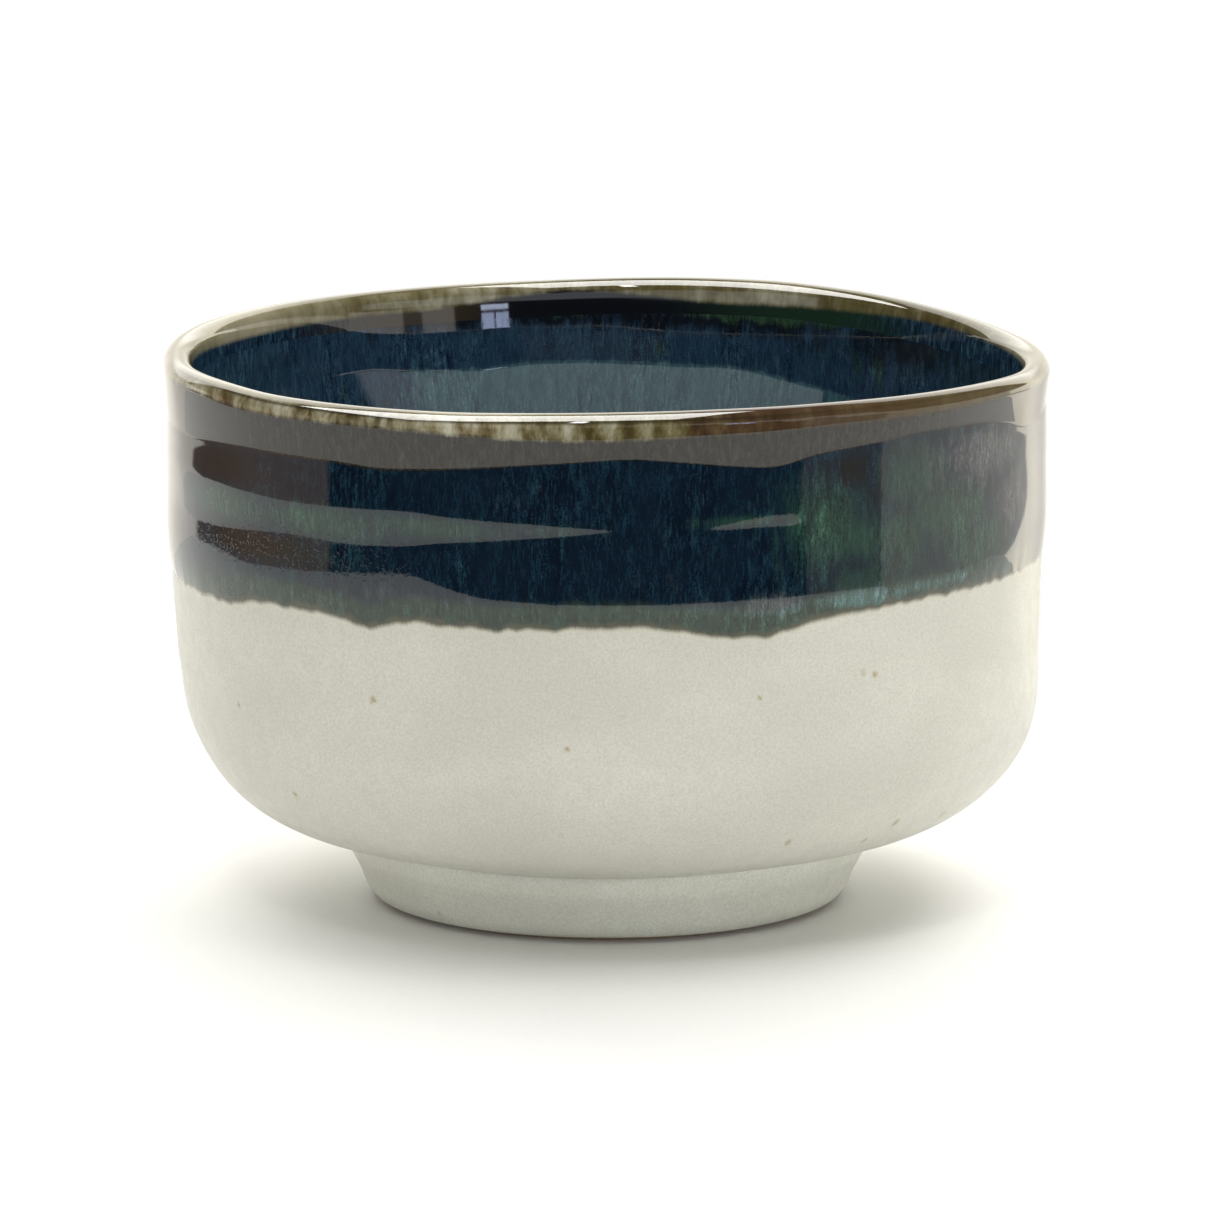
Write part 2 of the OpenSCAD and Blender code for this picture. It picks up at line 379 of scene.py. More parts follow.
def new_object(name, data):
    thing = bpy.data.objects.new(name, data)
    bpy.context.scene.collection.objects.link(thing)
    return thing


def spread(a, b, count):
    """A column of evenly spaced numbers, one for each row of a mesh."""
    return np.linspace(a, b, count)[:, None]


# ---- where the glaze changes colour

# Soft patches on the outside, each (azimuth, height, half width, half height, strength)
GREEN_PATCHES = [
    (-160, 57, 16, 5, 0.8), (-115, 60, 14, 4, 0.8), (-58, 60.2, 12, 2.6, 1), (-50, 49.5, 18, 2.5, 0.7),
    (-45, 55.5, 12, 2, 0.5), (-40, 60.2, 12, 2.4, 1), (-22, 61, 10, 1.6, 0.9), (-12, 49.5, 14, 2, 0.5),
    (-8, 61.3, 7, 1, 0.5), (17, 49, 9, 2.6, 0.9), (17, 62.2, 6, 0.9, 0.8), (29, 61, 7, 7, 0.85),
    (34, 58.5, 8, 4, 0.75), (35, 53, 7, 3, 0.7), (41, 57, 6, 6, 0.8), (43, 66, 7, 5, 0.8),
    (47, 50, 16, 2.4, 0.6), (50, 60, 9, 5, 1), (56, 55, 9, 4, 0.9), (100, 58, 14, 6, 0.8),
    (135, 63, 12, 4, 0.7),
]
BROWN_PATCHES = [
    (-100, 66, 14, 3.5, 0.8), (-62, 65.5, 14, 3, 0.9), (-53, 55.8, 13, 2.2, 0.9), (-32, 46.8, 1, 1.6, 1),
    (32, 67.5, 5, 3.2, 0.7), (34, 53.5, 4, 2, 0.3), (36, 64.5, 2, 2.5, 0.5), (150, 66.5, 12, 3, 0.8),
]
MILK_PATCHES = [
    (-140, 52, 14, 2.5, 0.6), (-78, 62, 9, 9, 1), (-60, 51, 14, 2, 0.4), (-25, 51.5, 14, 1.6, 0.4),
    (-12, 66, 5, 3, 0.25), (5, 56, 6, 5, 0.12), (12, 51, 3, 1.5, 0.6), (21, 50.6, 7, 1.6, 0.8),
    (34, 50.6, 9, 1.5, 0.9), (46, 51, 9, 1.4, 0.6), (58, 67, 12, 4.4, 1), (66, 60, 7, 6, 0.8),
    (78, 61, 9, 9, 1), (120, 52, 14, 3, 0.6), (170, 59, 9, 4, 0.5),
]


def patches(places, z):
    """The strongest of the soft patches at heights z, for each column."""
    level = np.zeros(COLUMNS)
    for azimuth, height, wide, high, strength in places:
        away = (AZIMUTHS - azimuth + 180) % 360 - 180
        level = np.maximum(level, strength * hump(away / wide) * hump((z - height) / high))
    return level


def outside_tone(z):
    """How brown, green and milky the outside's glaze is at heights z."""
    return np.stack([patches(places, z) for places in (BROWN_PATCHES, GREEN_PATCHES, MILK_PATCHES)], -1)


# How much of the lip is pale cream, how much of it is burnt brown, and how even its colour is
LIP_PALE = around({
    -180: 0.2, -165: 0.45, -150: 0.25, -134: 0.35, -120: 0.6, -105: 0.4, -80: 0.35, -60: 0.55, -40: 0.42,
    -30: 0.32, -22: 0.55, -14: 0.6, -8: 0.3, 5: 0.2, 12: 0, 25: 0.05, 38: 0.25, 50: 0.3, 70: 0.35,
    95: 0.45, 115: 0.35, 125: 0.15, 140: 0.15, 150: 0.4, 160: 0.35, 170: 0.1,
}, 2.5)
LIP_BROWN = around({
    -180: 0.45, -170: 0.3, -150: 0.15, -120: 0, -75: 0, -50: 0.2, -30: 0.4, -20: 0, -8: 0.1, 0: 0.3,
    8: 0.45, 13: 0.9, 18: 1, 24: 0.95, 32: 0.85, 45: 0.7, 60: 0.65, 76: 0.45, 90: 0.1, 115: 0.2, 130: 0.5,
    145: 0.1, 165: 0.2,
}, 2.0)
LIP_CALM = around({
    -180: 0.6, -150: 0.6, -125: 0.9, -80: 1, -62: 0.4, -45: 0.15, -10: 0.1, 15: 0.3, 25: 0.7, 36: 1, 80: 1,
    110: 0.8, 150: 0.6,
}, 4.0)
# How far down the inside the thin amber glaze reaches from the lip's crest
AMBER_RUN = around({
    -180: 2.7, -175: 2.2, -167: 2.8, -161: 3.5, -152: 4.1, -145: 4, -132: 4.1, -122: 4.3, -110: 4.2,
    -98: 3.6, -60: 3, 0: 3.4, 60: 2.8, 115: 2.6, 131: 2.9, 142: 3.7, 151: 4.1, 163: 4.4, 172: 3.6,
}, 2.5)

# ---- materials


def srgb(*colour):
    """A colour given as 0 to 255 screen values, in the linear values that shaders use."""
    v = np.array(colour) / 255
    return (*np.where(v <= 0.04045, v / 12.92, ((v + 0.055) / 1.055) ** 2.4).tolist(), 1.0)


class Nodes:
    """Short ways to add the shader nodes that the glazes and the studio are made of."""

    def __init__(self, tree):
        self.tree = tree

    def feed(self, socket, value):
        if isinstance(value, bpy.types.NodeSocket):
            self.tree.links.new(value, socket)
        else:
            socket.default_value = value

    def node(self, kind, inputs=(), **settings):
        """Adds a node with its settings, feeds its inputs and gives its outputs."""
        node = self.tree.nodes.new(kind)
        for key, value in settings.items():
            setattr(node, key, value)
        for key, value in dict(inputs).items():
            self.feed(node.inputs[key], value)
        return node.outputs

    def attribute(self, name, output="Fac"):
        return self.node("ShaderNodeAttribute", attribute_name=name)[output]

    def math(self, operation, a, b=0.0):
        return self.node("ShaderNodeMath", {0: a, 1: b}, operation=operation)[0]

    def add(self, a, b):
        return self.math("ADD", a, b)

    def less(self, a, b):
        return self.math("SUBTRACT", a, b)

    def times(self, a, b):
        return self.math("MULTIPLY", a, b)

    def sway(self, noise, size):
        """How far a noise is from its middle value, times size."""
        return self.times(self.less(noise, 0.5), size)

    def parts(self, vector):
        """The X, Y and Z sockets of a vector."""
        return self.node("ShaderNodeSeparateXYZ", {0: vector})

    def noise(self, vector, scale, offset=(0, 0, 0), detail=2.0, roughness=0.5, distortion=0.0):
        at = self.node("ShaderNodeMapping", {"Vector": vector, "Scale": scale, "Location": offset})[0]
        return self.node("ShaderNodeTexNoise", {
            "Vector": at, "Scale": 1.0, "Detail": detail, "Roughness": roughness, "Distortion": distortion,
        })["Fac"]

    def step(self, value, low, high, to_low=0.0, to_high=1.0):
        """A smooth step that is to_low where value is low and to_high where it is high."""
        return self.node("ShaderNodeMapRange", {
            "Value": value, "From Min": low, "From Max": high, "To Min": to_low, "To Max": to_high,
        }, interpolation_type="SMOOTHSTEP")[0]

    def mix(self, share, a, b, blend="MIX"):
        inputs = {"Factor": share, 6: a, 7: b}
        return self.node("ShaderNodeMix", inputs, data_type="RGBA", blend_type=blend)[2]

    def palette(self, value, *colours, stops=(0.38, 0.50, 0.60, 0.72)):
        """Screen colours from the hollows of a noise to its crests."""
        output = self.node("ShaderNodeValToRGB", {"Fac": value})["Color"]
        elements = output.node.color_ramp.elements
        while len(elements) < len(stops):
            elements.new(1.0)
        for element, position, colour in zip(elements, stops, colours):
            element.position = position
            element.color = srgb(*colour)
        return output

    def bump(self, height, distance, below=None):
        inputs = {"Height": height, "Distance": distance, "Strength": 1.0}
        if below is not None:
            inputs["Normal"] = below
        return self.node("ShaderNodeBump", inputs)["Normal"]


class Surface(Nodes):
    """The nodes of one material."""

    def __init__(self, name):
        self.material = bpy.data.materials.new(name)
        self.material.use_nodes = True
        super().__init__(self.material.node_tree)

    def finish(self, colour, roughness, normal=None, ior=1.5):
        """Gives the material its colour, roughness, fine relief and index of refraction."""
        inputs = self.tree.nodes["Principled BSDF"].inputs
        self.feed(inputs["Base Color"], colour)
        self.feed(inputs["Roughness"], roughness)
        self.feed(inputs["IOR"], ior)
        if normal is not None:
            self.feed(inputs["Normal"], normal)
        return self.material


GLAZE_IOR = 1.52


def glaze(name):
    """A new glaze: its nodes, its run down the melt, its distance from an edge and its colours."""
    n = Surface(name)
    return n, n.attribute("flow", "Vector"), n.attribute("edge"), n.parts(n.attribute("tone", "Vector"))


def streaks(n, flow):
    """Fine streaks down the wall, the same over slower clouds, and a pebbled skin."""
    fine = n.noise(flow, (2.9, 2.9, 0.6), detail=4, roughness=0.7, distortion=0.9)
    middling = n.noise(flow, (0.8, 0.8, 0.2), (7, 0, 3), detail=3, roughness=0.55, distortion=0.8)
    grain = n.noise(flow, (4.6, 4.6, 4), (3, 1, 8))
    streak = n.add(n.times(fine, 0.5), n.times(middling, 0.27))
    streak = n.add(streak, n.times(grain, 0.23))
    # Some stretches of the wall are more streaked than others
    stretch = n.noise(flow, (0.16, 0.16, 0.05), (1, 5, 2))
    strength = n.step(stretch, 0.38, 0.62, 0.6, 1.3)
    streak = n.add(n.sway(streak, strength), 0.5)
    pebble = n.noise(flow, (1.5, 1.5, 0.9), (2, 6, 0), detail=3, roughness=0.6)
    return fine, streak, pebble


def blue_glaze():
    n, flow, edge, tone = glaze("blue_glaze")
    fine, streak, pebble = streaks(n, flow)
    sway = n.sway(n.noise(flow, (0.55, 0.55, 0.22), detail=5, roughness=0.6), 1.3)
    body = n.palette(streak, (5, 11, 22), (12, 25, 38), (22, 46, 58), (44, 76, 84))
    green = n.palette(streak, (16, 33, 28), (32, 56, 47), (49, 80, 64), (76, 111, 93))
    brown = n.palette(streak, (8, 7, 6), (15, 14, 13), (28, 28, 25), (54, 58, 52))
    milk = n.palette(streak, (44, 46, 48), (70, 73, 74), (96, 98, 100), (126, 134, 140))
    body = n.mix(n.step(n.add(tone["Y"], n.times(sway, 0.7)), 0.05, 1.0), body, green)
    body = n.mix(n.step(n.add(tone["X"], sway), 0.15, 0.85), body, brown)
    body = n.mix(n.step(n.add(tone["Z"], sway), 0.15, 1.15), body, milk)
    # Towards its lower edge the glaze is thin: first olive green, then a burnt line, then cream
    low = n.add(edge, n.times(sway, 2.0))
    low = n.add(low, n.sway(streak, 3.0))
    hem_green = n.palette(streak, (26, 36, 30), (42, 55, 46), (58, 82, 68), (84, 120, 100))
    hem_milk = n.palette(streak, (36, 52, 48), (66, 92, 84), (100, 130, 138), (140, 164, 186))
    hem = n.mix(n.step(n.add(tone["Z"], sway), 0.3, 0.8), hem_green, hem_milk)
    body = n.mix(n.step(low, 4.6, 2.6), body, hem)
    body = n.mix(n.step(low, 1.5, 0.5), body, srgb(74, 72, 56))
    fade = n.add(edge, n.sway(fine, 0.5))
    colour = n.mix(n.step(fade, 0.75, -0.1), body, srgb(186, 184, 168))
    skin = n.bump(n.add(streak, n.times(pebble, 2.0)), 2.2e-6)
    # Where the band sagged on the left its skin is pitted
    pits = n.noise(flow, (2.1, 2.1, 1.9), (5, 2, 9), detail=1)
    rough = n.times(n.step(pits, 0.58, 0.70), n.attribute("pitted"))
    return n.finish(colour, n.step(fade, 0.9, 0.0, 0.03, 0.3), n.bump(rough, -2.2e-5, skin), GLAZE_IOR)


def liner_glaze():
    n, flow, edge, tone = glaze("blue_liner_glaze")
    fine, streak, pebble = streaks(n, flow)
    sway = n.sway(n.noise(flow, (0.4, 0.4, 0.25), detail=4), 1.4)
    body = n.palette(streak, (9, 20, 35), (30, 49, 67), (48, 75, 90), (84, 114, 122))
    teal = n.palette(streak, (27, 48, 55), (51, 80, 88), (74, 106, 110), (106, 138, 140))
    dark = n.palette(streak, (6, 9, 13), (14, 19, 26), (28, 36, 44), (48, 62, 68))
    green = n.palette(streak, (14, 26, 18), (34, 54, 40), (60, 84, 62), (96, 118, 92))
    # Tone Z, teal: painted light in the belt at the back, and the pooled glaze's own colour low down
    body = n.mix(n.step(n.add(tone["Z"], sway), 0.2, 0.8), body, teal)
    # Tone X darkens the glaze under the lip: painted dark reflection
    body = n.mix(n.step(n.add(tone["X"], sway), 0.2, 0.8), body, dark)
    body = n.mix(n.step(n.add(tone["Y"], sway), 0.3, 0.8), body, green)
    # edge is the height above the end of the thin amber glaze under the lip
    high = n.add(edge, n.sway(streak, 8.0))
    body = n.mix(n.step(high, -1.0, 0.8), body, srgb(84, 78, 52))
    skin = n.bump(pebble, 3.0e-6, n.bump(streak, 1.6e-6))
    return n.finish(body, n.step(fine, 0.3, 0.7, 0.03, 0.045), skin, GLAZE_IOR)


def rim_glaze():
    n, flow, edge, tone = glaze("amber_rim_glaze")
    along = n.parts(flow)
    fine = n.noise(flow, (1.5, 1.5, 0.45), detail=4, roughness=0.65, distortion=0.4)
    patch = n.noise(flow, (0.33, 0.33, 0.2), (4, 2, 0), detail=4, roughness=0.6, distortion=0.2)
    streak = n.add(n.times(fine, 0.3), n.times(patch, 0.7))
    # Towards the crest, and where the lip is calm, the streaks melt into one another
    crest = n.step(n.math("ABSOLUTE", along["Z"]), 1.9, 0.9)
    calm = n.math("MAXIMUM", tone["Z"], crest)
    lively = n.less(1.0, n.times(calm, 0.93))
    streak = n.add(n.sway(streak, lively), 0.5)
    stops = (0.38, 0.5, 0.62)
    olive = n.palette(streak, (56, 45, 24), (88, 81, 50), (116, 112, 82), stops=stops)
    cream = n.palette(streak, (132, 108, 70), (164, 158, 134), (180, 178, 162), stops=stops)
    burnt = n.palette(streak, (26, 16, 10), (66, 50, 34), (98, 84, 62), stops=(0.36, 0.5, 0.64))
    swing = n.times(n.less(patch, 0.5), n.times(lively, 1.8))
    colour = n.mix(n.step(n.add(tone["X"], swing), 0.1, 0.9), olive, cream)
    colour = n.mix(n.step(n.less(tone["Y"], swing), 0.25, 0.95), colour, burnt)
    # Where the lip's round top begins to fall, below its highlight, a dark line is painted: a painted
    # reflection of the dark gap beyond the light, lower on the lip towards the front
    start = n.add(n.times(along["X"], 0.02), 0.6)
    down = n.less(along["Z"], start)
    line = n.times(n.step(down, 0.0, 0.15), n.step(down, 0.65, 0.25))
    line = n.times(line, n.less(0.85, n.times(tone["Z"], 0.6)))
    colour = n.mix(line, colour, srgb(38, 34, 22))
    # edge runs from the amber's lower border up, negative below it
    low = n.add(edge, n.sway(streak, 1.6))
    under = n.palette(fine, (31, 29, 25), (38, 36, 31), (46, 45, 39), (55, 54, 47))
    inner = n.palette(fine, (9, 20, 34), (22, 40, 57), (38, 62, 77), (66, 94, 104))
    inner_back = n.mix(n.step(along["Y"], 6, 30), srgb(12, 15, 20), srgb(24, 42, 31))
    inner_back = n.mix(n.step(along["Y"], -13, -24), inner_back, srgb(44, 38, 29))
    inner = n.mix(n.step(along["X"], -34, -50), inner, inner_back)
    under = n.mix(n.step(along["Z"], 0.5, -0.5), under, inner)
    colour = n.mix(n.step(low, 0.4, -0.4), colour, under)
    return n.finish(colour, n.step(fine, 0.3, 0.7, 0.025, 0.045), n.bump(streak, 1.5e-6), GLAZE_IOR)


# Iron specks in the white glaze, each (azimuth, height, size in mm)
SPECKS = [
    (-31.6, 37.1, 0.75), (-5.1, 32.1, 0.6), (36.8, 39.9, 0.7), (19.8, 38.4, 0.5), (26.6, 17.4, 0.7),
    (41.5, 15.7, 0.6), (45.2, 18, 0.8), (-48.5, 21.6, 0.6), (-57.4, 32.7, 0.5), (130, 27, 0.7),
    (-150, 35, 0.7),
]


def white_glaze(name, colour, shade):
    n = Surface(name)
    at = n.node("ShaderNodeTexCoord")["Object"]
    grain = n.noise(at, (3200, 3200, 3200))
    mottle = n.noise(at, (420, 420, 420), detail=3)
    cloud = n.noise(at, (34, 34, 60))
    body = n.mix(n.step(cloud, 0.3, 0.7), shade, colour)
    body = n.mix(n.step(mottle, 0.35, 0.65, 0.0, 0.35), body, shade)
    body = n.mix(n.step(grain, 0.3, 0.7, 0.0, 0.3), body, srgb(150, 146, 132))
    wander = n.sway(grain, 1.4)
    flow = n.attribute("flow", "Vector")
    for azimuth, height, size in SPECKS:
        turn = radians(azimuth)
        centre = (FLOW_R * cos(turn), FLOW_R * sin(turn), height)
        away = n.node("ShaderNodeVectorMath", {0: flow, 1: centre}, operation="DISTANCE")["Value"]
        speck = n.step(n.add(away, wander), size, size * 0.2)
        body = n.mix(speck, body, srgb(160, 148, 118))
    freckle = n.noise(at, (260, 260, 260), (3, 1, 2), detail=1)
    body = n.mix(n.step(freckle, 0.76, 0.82, 0.0, 0.5), body, srgb(160, 148, 120))
    return n.finish(body, n.step(mottle, 0.3, 0.7, 0.32, 0.42), n.bump(mottle, 6.0e-6))


def clay(name):
    n = Surface(name)
    at = n.node("ShaderNodeTexCoord")["Object"]
    sand = n.noise(at, (2600, 2600, 2600), detail=3, roughness=0.7)
    body = n.palette(sand, (112, 92, 72), (150, 128, 102), (188, 168, 140), stops=(0.3, 0.5, 0.72))
    return n.finish(body, n.step(sand, 0.3, 0.7, 0.75, 0.9), n.bump(sand, 6.0e-5))


# ---- the coats


# Where the corner between the underside and the foot moves to, for each millimetre of depth
JOINT_MITRE = np.array([
    -sin(UNDERSIDE_SLOPE) - cos(FOOT_LEAN),
    cos(UNDERSIDE_SLOPE) + sin(FOOT_LEAN),
]) / (1 + sin(UNDERSIDE_SLOPE + FOOT_LEAN))
JOINT = np.array([JOINT_R, JOINT_Z])
CLAY_JOINT = JOINT + WHITE_T * JOINT_MITRE
RING_TOP_R = CLAY_JOINT[0] - (CLAY_JOINT[1] - RING_H) * tan(FOOT_LEAN)


def wall_rows(section, t, slope_rows, corner_rows, high_rows, hidden_rows):
    """The white glaze's surface, t deep, from the foot to the lip's crest."""
    joint_r, joint_z = JOINT + t * JOINT_MITRE
    angles = spread(pi / 2 - UNDERSIDE_SLOPE, CORNER_LEAN, corner_rows)
    r = CORNER_R + (CORNER_RAD - t) * np.cos(angles)
    z = CORNER_Z - (CORNER_RAD - t) * np.sin(angles)
    line = spread(0, 1, slope_rows)[:-1]
    r = np.concatenate([joint_r + (r[0] - joint_r) * line, r])
    z = np.concatenate([joint_z + (z[0] - joint_z) * line, z])
    section.rings(r + throwing_rings(z) * smooth((z - JOINT_Z) / 4), z, z)
    top = FRINGE + 1.5
    up = spread(0, 1, high_rows)[1:]
    z = CORNER_TOP_Z + (top - CORNER_TOP_Z) * up
    section.rings(belly(z) + throwing_rings(z) - t, z, z)
    up = spread(0, 1, hidden_rows)[1:]
    z = top + (LIP_C_Z - top) * up
    cover = RIM_T + 0.2 * smooth((CREASE - z) / 1.5) * smooth((z - FRINGE) / 3)
    hidden = band_at(z) - cover
    shown = belly(z) + throwing_rings(z)
    section.rings(shown + (hidden - shown) * smooth((z - top) / 3) - t, z, z)


QUARTER_ARC = LIP_RAD * pi / 2


def lip_rows(section, rad, start, stop, count, tone=NO_TONE):
    """Rows over the lip's round top, from start to stop degrees, at a distance rad from its centre."""
    for a in np.radians(np.linspace(start, stop, count)):
        away = LIP_RAD * (pi / 2 - a)
        z = LIP_C_Z + rad * sin(a)
        edge = z - ROLL_Z if away > 0 else AMBER_RUN + away
        section.ring(LIP_C_R + rad * cos(a), z, away, edge, tone)


# Height of the edge of the shallow pool in the floor's middle
POOL_EDGE_Z = FLOOR_Z + LINER_T / cos(FLOOR_SLOPE) + POOL_H
# Below this height on the inner wall the glaze mirrors the room past the front lip
LOWER_SHEEN = around({
    -180: 65.3, -169: 65.3, -161: 64.5, -150: 65.2, -143: 66, -120: 65, 0: 65, 120: 60, 138: 61, 143: 62.3,
    152: 63.6, 157: 64.5, 161: 65.1, 169: 64.9,
}, 2.0)
# Above this height it mirrors the room too
UPPER_SHEEN = around({
    -180: 70.1, -171: 70, -165: 70.1, -159: 69.9, -151: 70, -146: 70.4, -141: 71.1, -137: 72.3, -133: 73.2,
    -128: 73.7, -114: 74, -99: 74.5, -60: 72, 0: 71, 60: 71, 120: 72, 150: 69.8, 159: 69.3, 169: 69.3,
    175: 69.6,
}, 2.0)
# Lean of the inner wall in degrees: between the two lines, below them, just above them and at the lip
MIDDLE_LEAN, SHEEN_LEAN, UPPER_LEAN, TOP_LEAN = 4.0, 10.5, 6.2, 12.0
# Heights at which the inner wall is worked out
INNER_LOW, INNER_HIGH = 30.0, 77.5
INNER_ZS = np.arange(INNER_LOW, INNER_HIGH, GRID_STEP)[:, None]
# Where the plain cone of the inner wall meets the lip's round top
CONE_R = LIP_C_R - LIP_RAD * cos(INNER_LEAN)
CONE_Z = LIP_C_Z + LIP_RAD * sin(INNER_LEAN)
# Where the lip's round top ends on the inside
LIP_STOP = 180 - TOP_LEAN
LIP_END_R = LIP_C_R + LIP_RAD * cos(radians(LIP_STOP))
LIP_END_Z = LIP_C_Z + LIP_RAD * sin(radians(LIP_STOP))


def inner_lean():
    """Lean of the inner wall in degrees at each height and azimuth."""
    z = INNER_ZS
    across = np.maximum(0.75, -np.cos(THETA))
    lean = np.full((len(z), COLUMNS), MIDDLE_LEAN)
    lean -= 1.2 * smooth((z - LOWER_SHEEN) / 0.6) * smooth((UPPER_SHEEN - z) / 0.6)
    lower = SHEEN_LEAN / across
    lean += (lower - MIDDLE_LEAN) * smooth((LOWER_SHEEN + 0.25 - z) / 0.5) * smooth((z - 48) / 7)
    upper = (UPPER_LEAN + 0.55 * np.maximum(0, z - UPPER_SHEEN)) / across
    share = smooth((z - UPPER_SHEEN + 0.25) / 0.5)
    lean += (np.minimum(upper, TOP_LEAN) - lean) * share
    return lean + (TOP_LEAN - lean) * smooth((z - LIP_C_Z + 0.6) / 0.8)


def inner_bulge():
    """How far the inner wall stands outside its plain cone, on the same grid."""
    out = np.cumsum(np.tan(np.radians(inner_lean())) - tan(INNER_LEAN), axis=0) * GRID_STEP
    at = np.round((LIP_END_Z - INNER_LOW) / GRID_STEP).astype(int)
    cone = CONE_R + (LIP_END_Z - CONE_Z) * tan(INNER_LEAN)
    out += LIP_END_R - cone - out[at, np.arange(COLUMNS)]
    return out * smooth((INNER_ZS - 35) / 18)


INNER_OUT = inner_bulge()


def inner_wall(z):
    """Radius of the inner wall at heights z."""
    return CONE_R + (z - CONE_Z) * tan(INNER_LEAN) + look_up(INNER_OUT, INNER_LOW, z)


def inner_path(t, side_rows, corner_rows, floor_rows, start=0.0):
    """Radii, heights and run down the inside, t into the clay, from the lip to the pool's centre."""
    lean_cos, lean_sin, slope = cos(INNER_LEAN), sin(INNER_LEAN), tan(FLOOR_SLOPE)
    reach_r = CONE_R - INNER_RAD * lean_cos + INNER_RAD * sin(FLOOR_SLOPE)
    reach_z = CONE_Z + INNER_RAD * lean_sin - INNER_RAD * cos(FLOOR_SLOPE)
    length = (reach_z - POOL_EDGE_Z - (reach_r - POOL_R) * slope) / (lean_cos - lean_sin * slope)
    # Down the wall
    s = start + (length - start) * spread(0, 1, side_rows) ** 1.3
    z = CONE_Z - s * lean_cos - t * lean_sin
    parts = [(inner_wall(z) + t, z, s)]
    # Round the corner
    a = spread(INNER_LEAN, pi / 2 - FLOOR_SLOPE, corner_rows)[1:]
    r = CONE_R - length * lean_sin - INNER_RAD * lean_cos + (INNER_RAD + t) * np.cos(a)
    z = CONE_Z - length * lean_cos + INNER_RAD * lean_sin - (INNER_RAD + t) * np.sin(a)
    run = length + INNER_RAD * (a - INNER_LEAN)
    parts.append((r, z, run))
    # Down the floor's slope to the pool's edge
    r, z, run = r[-1], z[-1], run[-1]
    line = spread(0, 1, 7)[1:-1]
    edge_z = POOL_EDGE_Z - t / cos(FLOOR_SLOPE)
    parts.append((r + (POOL_R - r) * line, z + (edge_z - z) * line, run + (r - POOL_R) * line))
    # Down into the pool, nearly to its centre
    k = np.concatenate([spread(1, 0.05, floor_rows), [[0.02]]])
    parts.append((POOL_R * k + 0 * r, edge_z - POOL_H * (1 - k * k) + 0 * r, run + r - POOL_R * k))
    return [np.concatenate([np.broadcast_to(v, (len(v), COLUMNS)) for v in part]) for part in zip(*parts)]


def make_clay_body(material):
    outer = Section()
    outer.pole(RING_H)
    outer.ring(RECESS_R, RING_H)
    outer.ring(RING_TOP_R, RING_H)
    wall_rows(outer, WHITE_T, slope_rows=6, corner_rows=14, high_rows=10, hidden_rows=12)
    lip_rows(outer, LIP_RAD - RIM_T - WHITE_T, 10, LIP_STOP - 10, 8)
    r, z, run = inner_path(LINER_T, side_rows=24, corner_rows=12, floor_rows=8)
    outer.rings(r, z)
    outer.pole(z[-1].mean())
    return outer.build("clay_body_shell", "clay_body", material)


def foot_side(a, t):
    """Radius and height on the foot's rounded lower edge, a radians round it and t out of the clay."""
    edge_side_z = FOOT_EDGE * (1 - sin(FOOT_LEAN))
    centre_r = CLAY_JOINT[0] - (CLAY_JOINT[1] - edge_side_z) * tan(FOOT_LEAN)
    centre_r -= FOOT_EDGE * cos(FOOT_LEAN)
    return centre_r + (FOOT_EDGE + t) * np.cos(a), FOOT_EDGE - (FOOT_EDGE + t) * np.sin(a)


GLAZE_STOP = asin(1 - BARE_H / FOOT_EDGE)
# How far the wiped edge of the foot's glaze wanders, in degrees round the foot's rounded edge
WIPE = 2.2 * around({-160: 0.4, -100: -0.6, -40: 0.5, 0: -0.4, 35: 0.8, 90: -0.5, 140: 0.7})


def make_foot_ring(material):
    ring = Section()
    ring.ring(RECESS_R, RING_H)
    ring.ring(RING_TOP_R, RING_H)
    for a in np.linspace(FOOT_LEAN, pi / 2, 22):
        ring.ring(*foot_side(a, 0.0))
    for a in np.linspace(pi / 2, 0, 10):
        ring.ring(RECESS_R + RECESS_EDGE * (1 - cos(a)), RECESS_EDGE * (1 - sin(a)))
    ring.ring(RECESS_R, (RING_H + RECESS_EDGE) / 2)
    return ring.build("foot_ring_clay", "foot_ring", material)


def make_foot_glaze(material):
    coat = Section()
    start = np.array(foot_side(FOOT_LEAN, WHITE_T))
    for k in np.linspace(0, 1, 14)[:-1]:
        r, z = JOINT + (start - JOINT) * k
        coat.ring(r + 0.45 * hump((k - 0.38) / 0.26), z)
    stop = GLAZE_STOP + np.radians(WIPE)
    for k in np.linspace(0, 1, 16):
        a = FOOT_LEAN + (stop - FOOT_LEAN) * k
        # Known fault: in the last row rounding can put a just past stop, and t is then not a number
        t = WHITE_T * np.minimum(1, (stop - a) / radians(9)) ** 0.5 - SINK * (k == 1)
        coat.ring(*foot_side(a, t))
    for k in np.linspace(1, 0, 6):
        coat.ring(*foot_side(FOOT_LEAN + (stop - FOOT_LEAN) * k, -SINK))
    coat.ring(*(JOINT + (WHITE_T + SINK) * JOINT_MITRE))
    return coat.build("white_glaze_foot_coat", "white_glaze_foot", material)


def make_base_glaze(material):
    coat = Section()
    inner_r, inner_z = RECESS_R - BASE_T, RING_H - BASE_T
    low = RECESS_EDGE + 0.3
    coat.pole(inner_z)
    for r in np.linspace(1.0, inner_r - RECESS_FILLET, 14):
        coat.ring(r, inner_z + 0.08 * sin(r * 0.9) * smooth(r / 6))
    for a in np.linspace(pi / 2, 0, 9)[1:]:
        coat.ring(inner_r - RECESS_FILLET * (1 - cos(a)), inner_z - RECESS_FILLET * (1 - sin(a)))
    coat.ring(inner_r, low + 1.5)
    coat.ring(inner_r + BASE_T * 0.3, low + BASE_T)
    coat.ring(RECESS_R + SINK, low)
    coat.ring(RECESS_R + SINK, RING_H + SINK)
    coat.pole(RING_H + SINK)
    return coat.build("white_glaze_base_coat", "white_glaze_base", material)


